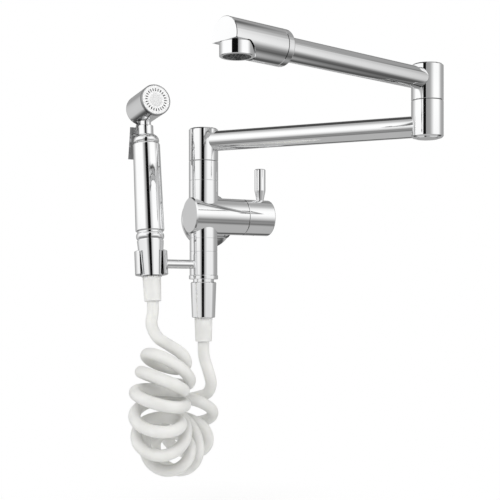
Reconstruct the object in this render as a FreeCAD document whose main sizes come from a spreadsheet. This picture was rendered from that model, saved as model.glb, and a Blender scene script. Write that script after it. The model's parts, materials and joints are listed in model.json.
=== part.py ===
"""Wall-mounted kitchen tap with a double-jointed spout, one valve and a trigger hand spray on a coiled hose.

Millimetres. +Z is up, +X runs right along the wall and +Y points into the wall. The origin is on the
axis of the wall inlet, in the plane of the wall. The pose is the one of a tap with its spout half folded.
"""
import FreeCAD, Part
import math
import os

import Sketcher
from FreeCAD import Placement, Rotation, Vector

os.makedirs("parts", exist_ok=True)
doc = FreeCAD.newDocument("WallTap")
sheet = doc.addObject("Spreadsheet::Sheet", "sizes")

X_AXIS = Vector(1, 0, 0)
Y_AXIS = Vector(0, 1, 0)
Z_AXIS = Vector(0, 0, 1)


class Size:
    """A size from the sheet, or a sum worked out from such sizes: its number and its formula."""

    def __init__(self, value, text):
        self.value = value
        self.text = text

    def __add__(self, other):
        return Size(self.value + number(other), f"({self.text} + {formula(other)})")

    def __sub__(self, other):
        return Size(self.value - number(other), f"({self.text} - {formula(other)})")

    def __mul__(self, other):
        return Size(self.value * number(other), f"({self.text} * {formula(other)})")

    def __truediv__(self, other):
        return Size(self.value / number(other), f"({self.text} / {formula(other)})")

    def __neg__(self):
        return Size(-self.value, f"(0 - {self.text})")


def number(size):
    return size.value if isinstance(size, Size) else size


def formula(size):
    return size.text if isinstance(size, Size) else str(size)


def cosine(angle):
    return Size(math.cos(math.radians(angle.value)), f"cos({angle.text})")


def sine(angle):
    return Size(math.sin(math.radians(angle.value)), f"sin({angle.text})")


def root(size):
    return Size(math.sqrt(size.value), f"sqrt({size.text})")


def add_size(name, value):
    """Writes one named size into the next row of the sheet."""
    add_size.row += 1
    sheet.set(f"A{add_size.row}", name)
    sheet.set(f"B{add_size.row}", str(value))
    sheet.setAlias(f"B{add_size.row}", name)
    return Size(float(value), f"sizes.{name}")


add_size.row = 0

# Clearances, edges and cuts shared by many pieces
fit_gap = add_size("fit_gap", 0.05)
shaft_gap = add_size("shaft_gap", 0.08)
running_gap = add_size("running_gap", 0.3)
joint_gap = add_size("joint_gap", 0.4)
seam_edge = add_size("seam_edge", 0.35)
soft_edge = add_size("soft_edge", 1.2)
overrun = add_size("overrun", 1)

# Places of the column, the valve and the arms
column_offset = add_size("column_offset", 28)
wall_distance = add_size("wall_distance", 52)
inner_arm_angle = add_size("inner_arm_angle", -52.7)
outer_arm_angle = add_size("outer_arm_angle", -166.2)
inner_arm_length = add_size("inner_arm_length", 219)
outer_arm_length = add_size("outer_arm_length", 220)

# Wall inlet: connector, flange, nut and washer
inlet_thread_radius = add_size("inlet_thread_radius", 10.48)
inlet_thread_length = add_size("inlet_thread_length", 15)
inlet_bore_radius = add_size("inlet_bore_radius", 6.5)
inlet_shank_radius = add_size("inlet_shank_radius", 12)
union_thread_radius = add_size("union_thread_radius", 13.2)
flange_radius = add_size("flange_radius", 28)
flange_rim = add_size("flange_rim", 3)
flange_depth = add_size("flange_depth", 10)
flange_wall = add_size("flange_wall", 2)
flange_nose_radius = add_size("flange_nose_radius", 15)
flange_crown_share = add_size("flange_crown_share", 1.25)
nut_flats = add_size("nut_flats", 38)
hexagon_half_angle = add_size("hexagon_half_angle", 30)
nut_length = add_size("nut_length", 15.5)
nut_shoulder = add_size("nut_shoulder", 3)
union_front = add_size("union_front", 29.5)
union_collar_radius = add_size("union_collar_radius", 12.9)
union_collar_length = add_size("union_collar_length", 3)
inlet_washer_thickness = add_size("inlet_washer_thickness", 2)

# Valve body and the column it forms
valve_radius = add_size("valve_radius", 17.5)
valve_left = add_size("valve_left", 14.6)
valve_joint = add_size("valve_joint", 41.5)
cavity_radius = add_size("cavity_radius", 15)
cavity_start = add_size("cavity_start", 9)
column_radius = add_size("column_radius", 14)
body_top = add_size("body_top", 33.2)
neck_radius = add_size("neck_radius", 11)
neck_top = add_size("neck_top", 43)
skirt_radius = add_size("skirt_radius", 13.25)
skirt_bottom = add_size("skirt_bottom", 21.7)
tail_radius = add_size("tail_radius", 10)
tail_bottom = add_size("tail_bottom", 74)
water_radius = add_size("water_radius", 6)
cross_bore_radius = add_size("cross_bore_radius", 5)
hose_bore_radius = add_size("hose_bore_radius", 4)

# Cartridge and lever
cartridge_foot = add_size("cartridge_foot", 4.5)
cartridge_waist_radius = add_size("cartridge_waist_radius", 12.5)
cartridge_top = add_size("cartridge_top", 35)
cartridge_flange = add_size("cartridge_flange", 4)
cartridge_seal_thickness = add_size("cartridge_seal_thickness", 1.5)
cartridge_window_radius = add_size("cartridge_window_radius", 3.5)
disc_radius = add_size("disc_radius", 8.6)
disc_thickness = add_size("disc_thickness", 3.4)
disc_port_radius = add_size("disc_port_radius", 2.2)
disc_gap = add_size("disc_gap", 0.1)
spindle_radius = add_size("spindle_radius", 4.5)
spindle_end_radius = add_size("spindle_end_radius", 3.8)
spindle_base = add_size("spindle_base", 4)
spindle_end = add_size("spindle_end", 56)
cartridge_nut_length = add_size("cartridge_nut_length", 6)
cartridge_nut_bore = add_size("cartridge_nut_bore", 6)
hub_end = add_size("hub_end", 70)
hub_hollow_radius = add_size("hub_hollow_radius", 13)
hub_hollow_depth = add_size("hub_hollow_depth", 8)
lever_place = add_size("lever_place", 61.6)
lever_top = add_size("lever_top", 48)
lever_radius = add_size("lever_radius", 5.4)
lever_foot_radius = add_size("lever_foot_radius", 3.45)
lever_taper = add_size("lever_taper", 9.7)
lever_seat = add_size("lever_seat", 17.1)
lever_thread_radius = add_size("lever_thread_radius", 2.45)
lever_thread_length = add_size("lever_thread_length", 6.9)
grub_radius = add_size("grub_radius", 2)
grub_length = add_size("grub_length", 6)
grub_socket_radius = add_size("grub_socket_radius", 1)
grub_place = add_size("grub_place", 53)

# Swivels, arm knuckles and tubes
ring_top = add_size("ring_top", 51.7)
inner_arm_rise = add_size("inner_arm_rise", 19.2)
inner_arm_height = ring_top + inner_arm_rise
stem_radius = add_size("stem_radius", 8)
stem_bore_radius = add_size("stem_bore_radius", 5.5)
stem_bottom = add_size("stem_bottom", 24.5)
stem_into_knuckle = add_size("stem_into_knuckle", 6)
stem_collar_radius = add_size("stem_collar_radius", 10.2)
stem_collar_length = add_size("stem_collar_length", 1.7)
groove_depth = add_size("groove_depth", 1.75)
groove_width = add_size("groove_width", 1.9)
groove_step = add_size("groove_step", 4.2)
seal_section = add_size("seal_section", 0.85)
washer_thickness = add_size("washer_thickness", 1.1)
washer_sunk = add_size("washer_sunk", 0.8)
washer_radius = add_size("washer_radius", 11)
chamber_radius = add_size("chamber_radius", 9.5)
knuckle_roof = add_size("knuckle_roof", 2.5)
knuckle_edge = add_size("knuckle_edge", 1.2)
arm_knuckle_cover = add_size("arm_knuckle_cover", 12.3)
arm_knuckle_top = inner_arm_height + arm_knuckle_cover
elbow_foot_drop = add_size("elbow_foot_drop", 10.1)
elbow_bottom = inner_arm_height - elbow_foot_drop
elbow_joint_rise = add_size("elbow_joint_rise", 21.7)
elbow_joint = inner_arm_height + elbow_joint_rise
outer_arm_rise = add_size("outer_arm_rise", 18.6)
outer_arm_height = elbow_joint + outer_arm_rise
elbow_cover = add_size("elbow_cover", 13.2)
elbow_top = outer_arm_height + elbow_cover
elbow_bearing = add_size("elbow_bearing", 9.7)
elbow_stem_overhang = add_size("elbow_stem_overhang", 2.3)
clip_radius = add_size("clip_radius", 9.2)
clip_thickness = add_size("clip_thickness", 1)
plug_radius = add_size("plug_radius", 10.2)
plug_rim = add_size("plug_rim", 0.9)
plug_depth = add_size("plug_depth", 4)
tube_radius = add_size("tube_radius", 9.5)
tube_wall = add_size("tube_wall", 1)

# Spout head and aerator
spout_radius = add_size("spout_radius", 14.25)
spout_collar_length = add_size("spout_collar_length", 6.6)
spout_head_length = add_size("spout_head_length", 52)
spout_nose = add_size("spout_nose", 12.3)
spout_socket = add_size("spout_socket", 6)
spout_bore_radius = add_size("spout_bore_radius", 7)
spout_water_radius = add_size("spout_water_radius", 2.6)
notch_drop = add_size("notch_drop", 3.2)
notch_radius = add_size("notch_radius", 13.9)
nipple_radius = add_size("nipple_radius", 11.7)
nipple_length = add_size("nipple_length", 5)
aerator_radius = add_size("aerator_radius", 13)
aerator_drop = add_size("aerator_drop", 13.6)
aerator_lip_radius = add_size("aerator_lip_radius", 10.6)
aerator_lip = add_size("aerator_lip", 0.7)
insert_radius = add_size("insert_radius", 11)
insert_hole_radius = add_size("insert_hole_radius", 0.9)
insert_hole_pitch = add_size("insert_hole_pitch", 2.9)
aerator_washer_thickness = add_size("aerator_washer_thickness", 0.9)

# Rings on the tail, spray holder and hose connection
outlet_ring_bottom = add_size("outlet_ring_bottom", 34.5)
holder_collar_bottom = add_size("holder_collar_bottom", 57)
lock_ring_bottom = add_size("lock_ring_bottom", 60.8)
lock_ring_radius = add_size("lock_ring_radius", 13.9)
holder_reach = add_size("holder_reach", 54)
rod_rise = add_size("rod_rise", 10.4)
rod_height = holder_collar_bottom - rod_rise
rod_radius = add_size("rod_radius", 4.2)
rod_seat = add_size("rod_seat", 2.6)
cup_radius = add_size("cup_radius", 15.4)
cup_top = add_size("cup_top", 11.7)
cup_bottom = add_size("cup_bottom", 10.6)
cup_mouth = add_size("cup_mouth", 21.7)
cup_mouth_angle = add_size("cup_mouth_angle", 69.5)
hose_nut_top = add_size("hose_nut_top", 63.4)
hose_nut_bottom = add_size("hose_nut_bottom", 97.4)
hose_nut_radius = add_size("hose_nut_radius", 12.25)
hose_nut_foot_radius = add_size("hose_nut_foot_radius", 11.05)
hose_nut_thread = add_size("hose_nut_thread", 13)
hose_washer_thickness = add_size("hose_washer_thickness", 1.6)
sleeve_radius = add_size("sleeve_radius", 8.6)
sleeve_foot_radius = add_size("sleeve_foot_radius", 7.9)
sleeve_length = add_size("sleeve_length", 22.8)
sleeve_socket = add_size("sleeve_socket", 6.5)
hose_radius = add_size("hose_radius", 5.5)

# Coiled part of the hose: rings strung along a bend, round a centre that is placed from the column's axis
coil_turns = add_size("coil_turns", 9.25)
coil_core_radius = add_size("coil_core_radius", 13.8)
coil_swell = add_size("coil_swell", 3.1)
coil_centre_left = add_size("coil_centre_left", 16.6)
coil_centre_front = add_size("coil_centre_front", 0.15)
coil_centre_drop = add_size("coil_centre_drop", 158.3)
coil_drift_left = add_size("coil_drift_left", 29.2)
coil_drift_front = add_size("coil_drift_front", 9.5)
coil_drift_down = add_size("coil_drift_down", 9.2)
coil_bow_right = add_size("coil_bow_right", 1.8)
coil_bow_front = add_size("coil_bow_front", 5.2)
coil_bow_down = add_size("coil_bow_down", 1.9)
coil_start_angle = add_size("coil_start_angle", -30.5)
coil_sweep_angle = add_size("coil_sweep_angle", 200)
coil_start_heading_angle = add_size("coil_start_heading_angle", 43.6)
coil_end_heading_angle = add_size("coil_end_heading_angle", 28.9)
coil_ease_share = add_size("coil_ease_share", 0.47)
coil_pitch_share = add_size("coil_pitch_share", 0.982)
coil_stagger_share = add_size("coil_stagger_share", 0.665)
coil_stagger_power = add_size("coil_stagger_power", 1.64)

# Hand spray, along its own axis from the middle of the holder's cup
spray_lean = add_size("spray_lean", 6)
cone_bottom = add_size("cone_bottom", 12.5)
cone_top = add_size("cone_top", 21.3)
cone_radius = add_size("cone_radius", 12.45)
cone_foot_radius = add_size("cone_foot_radius", 9.95)
grip_bore_radius = add_size("grip_bore_radius", 10.5)
bead_radius = add_size("bead_radius", 12.2)
bead_bulge = add_size("bead_bulge", 0.95)
bead_start = add_size("bead_start", 22.6)
bead_end = add_size("bead_end", 28.7)
groove_radius = add_size("groove_radius", 11.6)
grip_start = add_size("grip_start", 30.2)
grip_end = add_size("grip_end", 114.4)
grip_foot_radius = add_size("grip_foot_radius", 13.45)
grip_head_radius = add_size("grip_head_radius", 12.7)
grip_shoulder = add_size("grip_shoulder", 2)
spigot_length = add_size("spigot_length", 8)
dome_radius = add_size("dome_radius", 12.1)
dome_gap = add_size("dome_gap", 2)
dome_start = grip_end + dome_gap
dome_rise = add_size("dome_rise", 6)
dome_end = dome_start + dome_rise
dome_crown_radius = add_size("dome_crown_radius", 7.6)
neck_collar_radius = add_size("neck_collar_radius", 7.15)
neck_collar_length = add_size("neck_collar_length", 8.8)
neck_collar_end = dome_end + neck_collar_length
throat_radius = add_size("throat_radius", 5.1)
throat_bore_radius = add_size("throat_bore_radius", 3.2)
head_rise = add_size("head_rise", 18)
head_height = neck_collar_end + head_rise
head_radius = add_size("head_radius", 14.5)
head_wall = add_size("head_wall", 1.5)
head_back = add_size("head_back", 14)
head_front = add_size("head_front", 24.2)
head_edge = add_size("head_edge", 3)
face_ring_end = add_size("face_ring_end", 27.2)
face_edge = add_size("face_edge", 0.5)
face_ledge = add_size("face_ledge", 1.4)
face_spigot = add_size("face_spigot", 4)
plate_radius = add_size("plate_radius", 13.3)
plate_thickness = add_size("plate_thickness", 1.3)
slot_inner_radius = add_size("slot_inner_radius", 8.2)
slot_outer_radius = add_size("slot_outer_radius", 10.8)
slot_width = add_size("slot_width", 0.9)
slot_count = add_size("slot_count", 24)
disc_face_radius = add_size("disc_face_radius", 6.1)
disc_face_rise = add_size("disc_face_rise", 0.35)

# Trigger and the valve plunger it presses
pivot_back = add_size("pivot_back", 9.5)
pivot_drop = add_size("pivot_drop", 10.7)
pivot_pin_radius = add_size("pivot_pin_radius", 1.25)
pivot_pin_length = add_size("pivot_pin_length", 18.6)
tab_width = add_size("tab_width", 8)
tab_radius = add_size("tab_radius", 2.7)
slot_start = add_size("slot_start", 5.5)
slot_roof = add_size("slot_roof", 6.6)
trigger_drop = add_size("trigger_drop", 15.7)
trigger_top = head_height - trigger_drop
trigger_back = add_size("trigger_back", 16)
trigger_flare = add_size("trigger_flare", 15.6)
trigger_length = add_size("trigger_length", 30.5)
trigger_width = add_size("trigger_width", 22)
trigger_curve = add_size("trigger_curve", 16)
trigger_wall = add_size("trigger_wall", 1.6)
trigger_corner = add_size("trigger_corner", 3)
web_drop = add_size("web_drop", 4)
plunger_drop = add_size("plunger_drop", 6.2)
plunger_height = neck_collar_end - plunger_drop
plunger_radius = add_size("plunger_radius", 1.9)
plunger_inner_end = add_size("plunger_inner_end", 0.2)
plunger_outer_end = add_size("plunger_outer_end", 16.3)

doc.recompute()

pieces = {}
column_x = -column_offset
column_y = -wall_distance
elbow_x = column_x + inner_arm_length * cosine(inner_arm_angle)
elbow_y = column_y + inner_arm_length * sine(inner_arm_angle)
spray_x = column_x - holder_reach
head_y = column_y + head_height * sine(spray_lean)
head_z = head_height * cosine(spray_lean) - rod_height

# Each frame is a point and, where it is turned, an axis and an angle
WALL = ((0, 0, 0), None, None)
TAP = ((column_x, column_y, 0), None, None)
INNER_ARM = ((column_x, column_y, 0), Z_AXIS, inner_arm_angle)
ELBOW_LOWER = ((elbow_x, elbow_y, 0), Z_AXIS, inner_arm_angle)
OUTER_ARM = ((elbow_x, elbow_y, 0), Z_AXIS, outer_arm_angle)
SPRAY = ((spray_x, column_y, -rod_height), X_AXIS, -spray_lean)
SPRAY_HEAD = ((spray_x, head_y, head_z), X_AXIS, -spray_lean)


def place(item, point=(0, 0, 0), axis=None, angle=None):
    """Puts an object at a point, turned about an axis, and binds both to the sheet."""
    turn = Rotation() if axis is None else Rotation(axis, number(angle))
    item.Placement = Placement(Vector(*[number(p) for p in point]), turn)
    for name, value in zip("xyz", point):
        if isinstance(value, Size):
            item.setExpression(f"Placement.Base.{name}", value.text)
    if isinstance(angle, Size):
        # the angle of a rotation is never negative, so a negative one turns about the opposite axis
        if angle.value < 0:
            item.Placement = Placement(item.Placement.Base, Rotation(axis * -1, -angle.value))
            item.setExpression("Placement.Rotation.Angle", (-angle).text)
        else:
            item.setExpression("Placement.Rotation.Angle", angle.text)
    return item


def keep(item, name, frame):
    """Gives a finished piece its name and its place in the tap."""
    item.Label = name
    place(item, *frame)
    pieces[name] = item
    return item


def arc_middle(start, end, radius, side):
    """The middle point of a flat arc that bulges to the right of its travel, or left where side is -1."""
    chord = end - start
    rise = radius - math.sqrt(radius * radius - chord.Length * chord.Length / 4)
    outward = Vector(chord.y, -chord.x, 0).normalize() * side
    return (start + end) / 2 + outward * rise


def draw_outline(body, name, plane, outline):
    """Draws a closed sketch through points whose places, and radii where a side is an arc, are sizes."""
    sketch = body.newObject("Sketcher::SketchObject", name)
    origin_plane = [f for f in body.Origin.OriginFeatures if f.Role == plane][0]
    sketch.AttachmentSupport = (origin_plane, "")
    sketch.MapMode = "FlatFace"
    corners = [Vector(number(p[0]), number(p[1]), 0) for p in outline]
    for i, corner in enumerate(corners):
        after = (i + 1) % len(corners)
        if len(outline[after]) == 2:
            sketch.addGeometry(Part.LineSegment(corner, corners[after]), False)
        else:
            radius, side = outline[after][2:]
            middle = arc_middle(corner, corners[after], number(radius), side)
            # a sketch's arcs run anticlockwise, so one that bulges to the left is drawn from its far end
            first, last = (corner, corners[after]) if side > 0 else (corners[after], corner)
            sketch.addGeometry(Part.Arc(first, middle, last), False)
    for i, corner in enumerate(corners):
        before = (i - 1) % len(corners)
        first = end_at(sketch.Geometry[i], corner)
        last = end_at(sketch.Geometry[before], corner)
        sketch.addConstraint(Sketcher.Constraint("Coincident", before, last, i, first))
        for place_in, kind, axis in ((0, "DistanceX", -2), (1, "DistanceY", -1)):
            value = outline[i][place_in]
            if isinstance(value, Size):
                bound = sketch.addConstraint(Sketcher.Constraint(kind, -1, 1, i, first, value.value))
                sketch.setExpression(f"Constraints[{bound}]", value.text)
            else:
                sketch.addConstraint(Sketcher.Constraint("PointOnObject", i, first, axis))
        if len(outline[i]) > 2:
            radius = outline[i][2]
            bound = sketch.addConstraint(Sketcher.Constraint("Radius", before, radius.value))
            sketch.setExpression(f"Constraints[{bound}]", radius.text)
    sketch.Visibility = False
    return sketch


def end_at(side, corner):
    """Which end of a sketch's side, 1 or 2, is at a corner."""
    return 1 if (side.StartPoint - corner).Length < (side.EndPoint - corner).Length else 2


def turned(name, outline, along="z"):
    """A body of revolution about its own X, Y or Z axis from points (radius, place along the axis)."""
    body = doc.addObject("PartDesign::Body", name)
    if along == "z":
        sketch = draw_outline(body, name + "_outline", "XZ_Plane", outline)
        axis = "V_Axis"
    else:
        flipped = [(p[1], p[0]) + ((p[2], -p[3]) if len(p) > 2 else ()) for p in outline]
        plane = "XZ_Plane" if along == "x" else "YZ_Plane"
        sketch = draw_outline(body, name + "_outline", plane, flipped)
        axis = "H_Axis"
    turn = body.newObject("PartDesign::Revolution", name + "_turn")
    turn.Profile = sketch
    turn.ReferenceAxis = (sketch, [axis])
    turn.Angle = 360
    return body


def ring(name, inner, outer, start, end, along="z", edge=None):
    """A plain ring, with its two outer edges broken by a small bevel where an edge is given."""
    if edge is None:
        outline = [(inner, start), (outer, start), (outer, end), (inner, end)]
    else:
        outline = [(inner, start), (outer - edge, start), (outer, start + edge), (outer, end - edge),
                   (outer - edge, end), (inner, end)]
    return turned(name, outline, along)


def rod(name, radius, length, point, along="z"):
    """A plain cylinder from a point along +X, +Y or +Z, as a tool or as part of a piece."""
    item = doc.addObject("Part::Cylinder", name)
    item.setExpression("Radius", formula(radius))
    item.setExpression("Height", formula(length))
    axis, angle = {"x": (Y_AXIS, 90), "y": (X_AXIS, -90), "z": (Z_AXIS, 0)}[along]
    return place(item, point, axis, angle)


def block(name, sides, point):
    """A plain box from its lowest corner."""
    item = doc.addObject("Part::Box", name)
    for side, value in zip(("Length", "Width", "Height"), sides):
        item.setExpression(side, formula(value))
    return place(item, point)


def joined(name, items):
    item = doc.addObject("Part::MultiFuse", name)
    item.Shapes = items
    return item


def cut(name, base, tool):
    item = doc.addObject("Part::Cut", name)
    item.Base = base
    item.Tool = tool
    return item


def grooves(radius, first, count):
    """Outline points of square seal grooves on a shaft, going up its axis."""
    points = []
    for i in range(count):
        low = first + groove_step * i
        points += [(radius, low), (radius - groove_depth, low), (radius - groove_depth, low + groove_width),
                   (radius, low + groove_width)]
    return points


def seals(name, first, count):
    """O-rings lying in the grooves of a stem."""
    rings = []
    for i in range(count):
        item = doc.addObject("Part::Torus", f"{name}_{i + 1}")
        item.setExpression("Radius1", (stem_radius - seal_section).text)
        item.setExpression("Radius2", seal_section.text)
        place(item, (0, 0, first + groove_step * i + groove_width / 2))
        rings.append(item)
    group = doc.addObject("Part::Compound", name)
    group.Links = rings
    return group


# Wall inlet

def make_inlet():
    front = -union_front + nut_shoulder + running_gap + union_collar_length + inlet_washer_thickness
    shank_edge = front + nut_length - nut_shoulder - union_collar_length
    connector = turned("connector", [
        (inlet_bore_radius, front), (union_thread_radius, front), (union_thread_radius, shank_edge),
        (inlet_shank_radius, shank_edge), (inlet_shank_radius, -seam_edge), (inlet_thread_radius, 0),
        (inlet_thread_radius, inlet_thread_length),
        (inlet_thread_radius - overrun, inlet_thread_length + overrun),
        (inlet_bore_radius, inlet_thread_length + overrun)], "y")
    keep(connector, "inlet_connector", WALL)

    nose = flange_depth - flange_rim
    run = flange_radius - flange_nose_radius
    dome = (run * run + nose * nose) / (nose * 2)
    inner_dome = dome - flange_wall
    flange = turned("flange", [
        (inlet_shank_radius + running_gap, -flange_depth),
        (flange_nose_radius, -flange_depth),
        (flange_radius, -flange_rim, dome * flange_crown_share, 1),
        (flange_radius, 0),
        (flange_radius - flange_wall, 0),
        (flange_radius - flange_wall, -flange_rim + seam_edge),
        (flange_nose_radius, -flange_depth + flange_wall, inner_dome * flange_crown_share, -1),
        (inlet_shank_radius + running_gap, -flange_depth + flange_wall)], "y")
    keep(flange, "wall_flange", WALL)

    washer_start = -union_front + nut_shoulder + running_gap + union_collar_length
    washer = ring("inlet_ring", inlet_bore_radius, union_collar_radius, washer_start,
                  washer_start + inlet_washer_thickness, "y")
    keep(washer, "inlet_washer", WALL)

    hexagon = doc.addObject("Part::Prism", "nut_hexagon")
    hexagon.Polygon = 6
    hexagon.setExpression("Circumradius", (nut_flats / 2 / cosine(hexagon_half_angle)).text)
    hexagon.setExpression("Height", nut_length.text)
    place(hexagon, (0, -union_front, 0), X_AXIS, -90)
    crown = nut_flats / 2
    corner = crown + knuckle_edge
    bevel = turned("nut_bevel", [
        (inlet_shank_radius + shaft_gap, -union_front),
        (crown, -union_front),
        (corner + knuckle_edge, -union_front + knuckle_edge * 2),
        (corner + knuckle_edge, -union_front + nut_length - knuckle_edge * 2),
        (crown, -union_front + nut_length),
        (union_thread_radius + fit_gap, -union_front + nut_length),
        (union_thread_radius + fit_gap, -union_front + nut_shoulder),
        (inlet_shank_radius + shaft_gap, -union_front + nut_shoulder)], "y")
    nut = doc.addObject("Part::Common", "nut_shape")
    nut.Base = hexagon
    nut.Tool = bevel
    keep(nut, "union_nut", WALL)


# Valve body, cartridge and lever

def make_valve():
    barrel = turned("barrel", [
        (0, -valve_left), (valve_radius - soft_edge, -valve_left),
        (valve_radius, -valve_left + soft_edge), (valve_radius, valve_joint - seam_edge),
        (valve_radius - seam_edge, valve_joint), (0, valve_joint)], "x")
    column = turned("column", [
        (0, -tail_bottom), (tail_radius, -tail_bottom), (tail_radius, -skirt_bottom),
        (skirt_radius - seam_edge, -skirt_bottom), (skirt_radius, -skirt_bottom + seam_edge),
        (skirt_radius, 0), (column_radius, 0), (column_radius, body_top - seam_edge),
        (column_radius - seam_edge, body_top), (neck_radius, body_top), (neck_radius, neck_top),
        (0, neck_top)])
    stub_end = wall_distance - union_front + nut_shoulder + running_gap + union_collar_length
    stub = turned("inlet_stub", [
        (0, 0), (inlet_shank_radius, 0), (inlet_shank_radius, stub_end - union_collar_length),
        (union_collar_radius, stub_end - union_collar_length), (union_collar_radius, stub_end),
        (0, stub_end)], "y")
    place(stub, (column_offset, 0, 0))
    solid = joined("valve_solid", [barrel, column, stub])
    tools = joined("valve_passages", [
        rod("cartridge_room", cavity_radius, valve_joint - cavity_start + overrun,
            (cavity_start, 0, 0), "x"),
        rod("stem_room", stem_radius + shaft_gap, neck_top - stem_bottom + joint_gap + overrun,
            (0, 0, stem_bottom - joint_gap)),
        rod("water_up", water_radius, stem_bottom, (0, 0, 0)),
        rod("water_across", cross_bore_radius, cavity_start + overrun, (0, 0, 0), "x"),
        rod("water_down", hose_bore_radius, tail_bottom + overrun, (0, 0, -tail_bottom - overrun)),
        rod("water_in", inlet_bore_radius, stub_end, (column_offset, overrun, 0), "y")])
    keep(cut("valve_shape", solid, tools), "valve_body", TAP)

    foot = cavity_start + cartridge_seal_thickness
    keep(ring("cartridge_ring", water_radius + overrun, cavity_radius - running_gap * 2, cavity_start,
              foot, "x"), "cartridge_seal", TAP)
    sleeve = cavity_radius - fit_gap * 2
    disc_room = disc_radius + running_gap
    discs_end = foot + disc_thickness * 2 + disc_gap * 3
    neck_start = discs_end + spindle_base + disc_gap
    housing = turned("housing", [
        (disc_room, foot), (sleeve, foot), (sleeve, foot + cartridge_foot),
        (cartridge_waist_radius, foot + cartridge_foot),
        (cartridge_waist_radius, cartridge_top - cartridge_flange),
        (sleeve, cartridge_top - cartridge_flange), (sleeve, cartridge_top),
        (spindle_radius + shaft_gap, cartridge_top), (spindle_radius + shaft_gap, neck_start),
        (disc_room, neck_start)], "x")
    windows = rod("housing_windows", cartridge_window_radius, cartridge_waist_radius * 2 + overrun * 2,
                  (foot + cartridge_foot + cartridge_window_radius + overrun, 0,
                   -cartridge_waist_radius - overrun))
    keep(cut("housing_shape", housing, windows), "cartridge_housing", TAP)
    for name, start, size_of in (("fixed_disc", foot, disc_radius + running_gap - fit_gap),
                                 ("moving_disc", foot + disc_thickness + disc_gap, disc_radius)):
        plain = ring(name + "_plain", disc_port_radius, size_of, start, start + disc_thickness, "x")
        port = rod(name + "_port", disc_port_radius, disc_thickness + overrun * 2,
                   (start - overrun, 0, disc_radius / 2 + overrun), "x")
        keep(cut(name + "_shape", plain, port), name, TAP)
    base_start = foot + disc_thickness * 2 + disc_gap * 2
    spindle = turned("spindle_shape", [
        (0, base_start), (disc_radius, base_start), (disc_radius, base_start + spindle_base),
        (spindle_radius, base_start + spindle_base),
        (spindle_radius, valve_joint + joint_gap), (spindle_end_radius, valve_joint + joint_gap),
        (spindle_end_radius, spindle_end), (0, spindle_end)], "x")
    keep(spindle, "spindle", TAP)
    keep(ring("cartridge_nut_ring", cartridge_nut_bore, sleeve, cartridge_top,
              cartridge_top + cartridge_nut_length, "x", seam_edge), "cartridge_nut", TAP)


def make_lever():
    start = valve_joint + joint_gap
    hub = turned("hub", [
        (hub_hollow_radius, start), (valve_radius - seam_edge, start), (valve_radius, start + seam_edge),
        (valve_radius, hub_end - soft_edge), (valve_radius - soft_edge, hub_end, soft_edge, 1),
        (0, hub_end), (0, spindle_end + overrun), (spindle_end_radius + fit_gap, spindle_end + overrun),
        (spindle_end_radius + fit_gap, start + hub_hollow_depth),
        (hub_hollow_radius, start + hub_hollow_depth)], "x")
    thread = lever_seat - lever_thread_length
    tools = joined("hub_holes", [
        rod("lever_seat_cut", lever_foot_radius + fit_gap, valve_radius, (lever_place, 0, lever_seat)),
        rod("lever_thread_cut", lever_thread_radius + fit_gap, valve_radius,
            (lever_place, 0, thread - running_gap)),
        rod("grub_hole", grub_radius + fit_gap, valve_radius, (grub_place, 0, -valve_radius))])
    keep(cut("hub_shape", hub, tools), "handle_hub", TAP)

    pin = turned("pin", [
        (0, thread), (lever_thread_radius, thread), (lever_thread_radius, lever_seat),
        (lever_foot_radius, lever_seat), (lever_radius, lever_seat + lever_taper),
        (lever_radius, lever_top - seam_edge * 2), (lever_radius - seam_edge * 2, lever_top),
        (0, lever_top)])
    keep(pin, "lever_pin", ((column_x + lever_place, column_y, 0), None, None))

    grub_top = spindle_end_radius + fit_gap
    grub = turned("grub", [
        (0, -grub_top), (0, -grub_top - grub_length / 2),
        (grub_socket_radius, -grub_top - grub_length / 2), (grub_socket_radius, -grub_top - grub_length),
        (grub_radius, -grub_top - grub_length), (grub_radius, -grub_top)])
    keep(grub, "handle_screw", ((column_x + grub_place, column_y, 0), None, None))


# Swivels, knuckles and arm tubes

def make_column_swivel():
    collar_start = neck_top + running_gap
    lip = collar_start + stem_collar_length + running_gap
    base = turned("base_ring", [
        (neck_radius + fit_gap, body_top), (column_radius - seam_edge, body_top),
        (column_radius, body_top + seam_edge), (column_radius, ring_top - seam_edge),
        (column_radius - seam_edge, ring_top), (washer_radius + fit_gap, ring_top),
        (washer_radius + fit_gap, ring_top - washer_sunk), (stem_radius + shaft_gap, ring_top - washer_sunk),
        (stem_radius + shaft_gap, lip), (neck_radius + fit_gap, lip)])
    keep(base, "swivel_base_ring", TAP)
    keep(ring("base_washer", stem_radius + shaft_gap, washer_radius, ring_top - washer_sunk,
              ring_top - washer_sunk + washer_thickness), "swivel_washer", TAP)

    knuckle_bottom = ring_top + joint_gap
    first = stem_bottom + overrun * 2
    stem = turned("arm_stem_shape", [(stem_bore_radius, stem_bottom), (stem_radius, stem_bottom)]
                  + grooves(stem_radius, first, 2)
                  + [(stem_radius, collar_start), (stem_collar_radius, collar_start),
                     (stem_collar_radius, collar_start + stem_collar_length),
                     (stem_radius, collar_start + stem_collar_length),
                     (stem_radius, knuckle_bottom + stem_into_knuckle),
                     (stem_bore_radius, knuckle_bottom + stem_into_knuckle)])
    keep(stem, "arm_stem", INNER_ARM)
    keep(seals("arm_stem_rings", first, 2), "arm_stem_seals", INNER_ARM)
    knuckle = knuckle_shape("arm_knuckle", knuckle_bottom, arm_knuckle_top, inner_arm_height)
    keep(knuckle, "arm_knuckle", INNER_ARM)


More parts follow.
